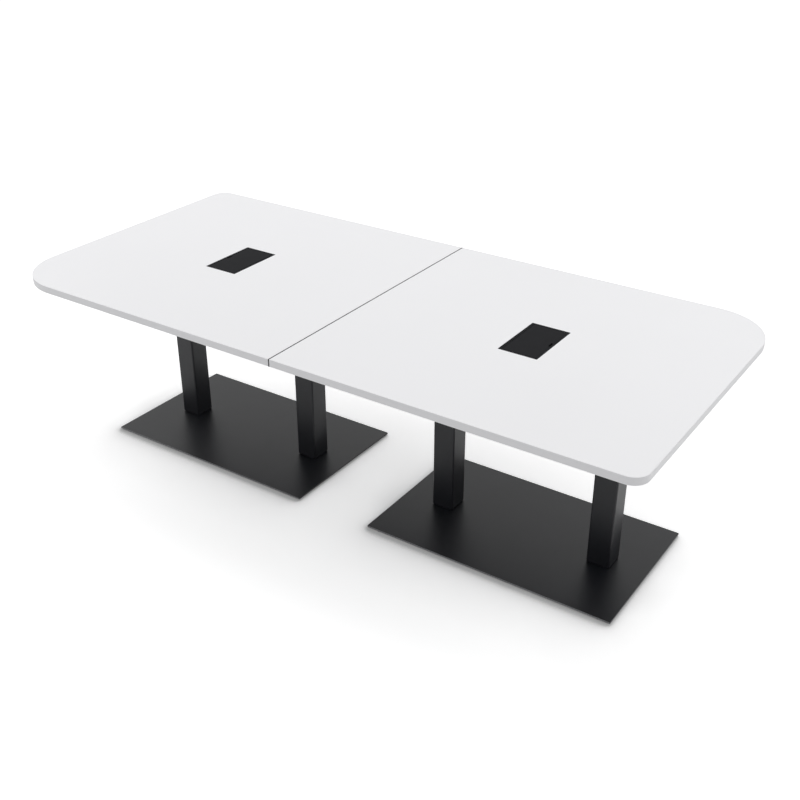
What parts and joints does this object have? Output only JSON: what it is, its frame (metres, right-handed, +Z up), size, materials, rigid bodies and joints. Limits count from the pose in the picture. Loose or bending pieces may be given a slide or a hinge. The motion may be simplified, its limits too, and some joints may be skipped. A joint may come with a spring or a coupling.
{
  "type": "conference table",
  "caption": "White rectangular conference table in halves, with flush flip-lid power modules, on black twin-post steel bases with flat floor plates.",
  "frame": {"origin": "on the floor under the middle of the table", "axes": "+X along the table's length, +Y across it to the back, +Z up"},
  "size_m": [2.4384, 1.143, 0.7366],
  "materials": {
    "white_laminate": "satin",
    "white_edge_band": "satin",
    "particleboard": "matte",
    "backer_sheet": "matte",
    "gasket_rubber": "matte",
    "dowel_beech": "matte",
    "zinc_steel": "satin",
    "black_powder_coat": "satin",
    "black_oxide_steel": "satin",
    "black_plastic": "matte",
    "socket_plastic": "gloss",
    "glide_nylon": "matte",
    "bumper_rubber": "matte"
  },
  "bodies": {
    "table": {"seam_gasket": "gasket_rubber", "seam_dowels": "dowel_beech", "tie_plates": "zinc_steel", "tie_plate_screws": "zinc_steel", "right_panel_core": "particleboard", "left_panel_core": "particleboard", "right_top_laminate": "white_laminate", "left_top_laminate": "white_laminate", "right_bottom_backer": "backer_sheet", "left_bottom_backer": "backer_sheet", "right_edge_band": "white_edge_band", "left_edge_band": "white_edge_band", "right_base_plate": "black_powder_coat", "left_base_plate": "black_powder_coat", "right_inner_post": "black_powder_coat", "left_inner_post": "black_powder_coat", "right_inner_post_foot": "black_powder_coat", "left_inner_post_foot": "black_powder_coat", "right_inner_mounting_plate": "black_powder_coat", "left_inner_mounting_plate": "black_powder_coat", "right_outer_post": "black_powder_coat", "left_outer_post": "black_powder_coat", "right_outer_post_foot": "black_powder_coat", "left_outer_post_foot": "black_powder_coat", "right_outer_mounting_plate": "black_powder_coat", "left_outer_mounting_plate": "black_powder_coat", "right_power_bezel": "black_plastic", "left_power_bezel": "black_plastic", "right_power_tub": "black_powder_coat", "left_power_tub": "black_powder_coat", "right_socket_panel": "black_powder_coat", "left_socket_panel": "black_powder_coat", "right_power_outlets": "socket_plastic", "left_power_outlets": "socket_plastic", "right_usb_charger": "socket_plastic", "left_usb_charger": "socket_plastic", "post_bolts": "black_oxide_steel", "mounting_plate_screws": "zinc_steel", "lid_hinge_pins": "zinc_steel", "tub_screws": "black_oxide_steel", "clamp_brackets": "zinc_steel", "clamp_screws": "zinc_steel", "socket_panel_screws": "black_oxide_steel", "cord_glands": "black_plastic", "cord_gland_nuts": "black_plastic"},
    "right_lid": {"right_power_lid": "black_plastic", "right_lid_bumpers": "bumper_rubber"},
    "left_lid": {"left_power_lid": "black_plastic", "left_lid_bumpers": "bumper_rubber"},
    "right_inner_front_glide": {"right_inner_front_glide": "glide_nylon"},
    "left_inner_back_glide": {"left_inner_back_glide": "glide_nylon"},
    "right_inner_back_glide": {"right_inner_back_glide": "glide_nylon"},
    "left_inner_front_glide": {"left_inner_front_glide": "glide_nylon"},
    "right_outer_front_glide": {"right_outer_front_glide": "glide_nylon"},
    "left_outer_back_glide": {"left_outer_back_glide": "glide_nylon"},
    "right_outer_back_glide": {"right_outer_back_glide": "glide_nylon"},
    "left_outer_front_glide": {"left_outer_front_glide": "glide_nylon"}
  },
  "joints": [
    {"name": "right_lid_hinge", "type": "hinge", "parent": "table", "child": "right_lid", "pos_m": [0.5542, 0, 0.7341], "axis": [0, -1, 0], "range_deg": [0, 95]},
    {"name": "left_lid_hinge", "type": "hinge", "parent": "table", "child": "left_lid", "pos_m": [-0.5542, 0, 0.7341], "axis": [0, 1, 0], "range_deg": [0, 95]},
    {"name": "right_inner_front_glide_travel", "type": "slide", "parent": "table", "child": "right_inner_front_glide", "axis": [0, 0, -1], "range_m": [0, 0.002]},
    {"name": "left_inner_back_glide_travel", "type": "slide", "parent": "table", "child": "left_inner_back_glide", "axis": [0, 0, -1], "range_m": [0, 0.002]},
    {"name": "right_inner_back_glide_travel", "type": "slide", "parent": "table", "child": "right_inner_back_glide", "axis": [0, 0, -1], "range_m": [0, 0.002]},
    {"name": "left_inner_front_glide_travel", "type": "slide", "parent": "table", "child": "left_inner_front_glide", "axis": [0, 0, -1], "range_m": [0, 0.002]},
    {"name": "right_outer_front_glide_travel", "type": "slide", "parent": "table", "child": "right_outer_front_glide", "axis": [0, 0, -1], "range_m": [0, 0.002]},
    {"name": "left_outer_back_glide_travel", "type": "slide", "parent": "table", "child": "left_outer_back_glide", "axis": [0, 0, -1], "range_m": [0, 0.002]},
    {"name": "right_outer_back_glide_travel", "type": "slide", "parent": "table", "child": "right_outer_back_glide", "axis": [0, 0, -1], "range_m": [0, 0.002]},
    {"name": "left_outer_front_glide_travel", "type": "slide", "parent": "table", "child": "left_outer_front_glide", "axis": [0, 0, -1], "range_m": [0, 0.002]}
  ]
}
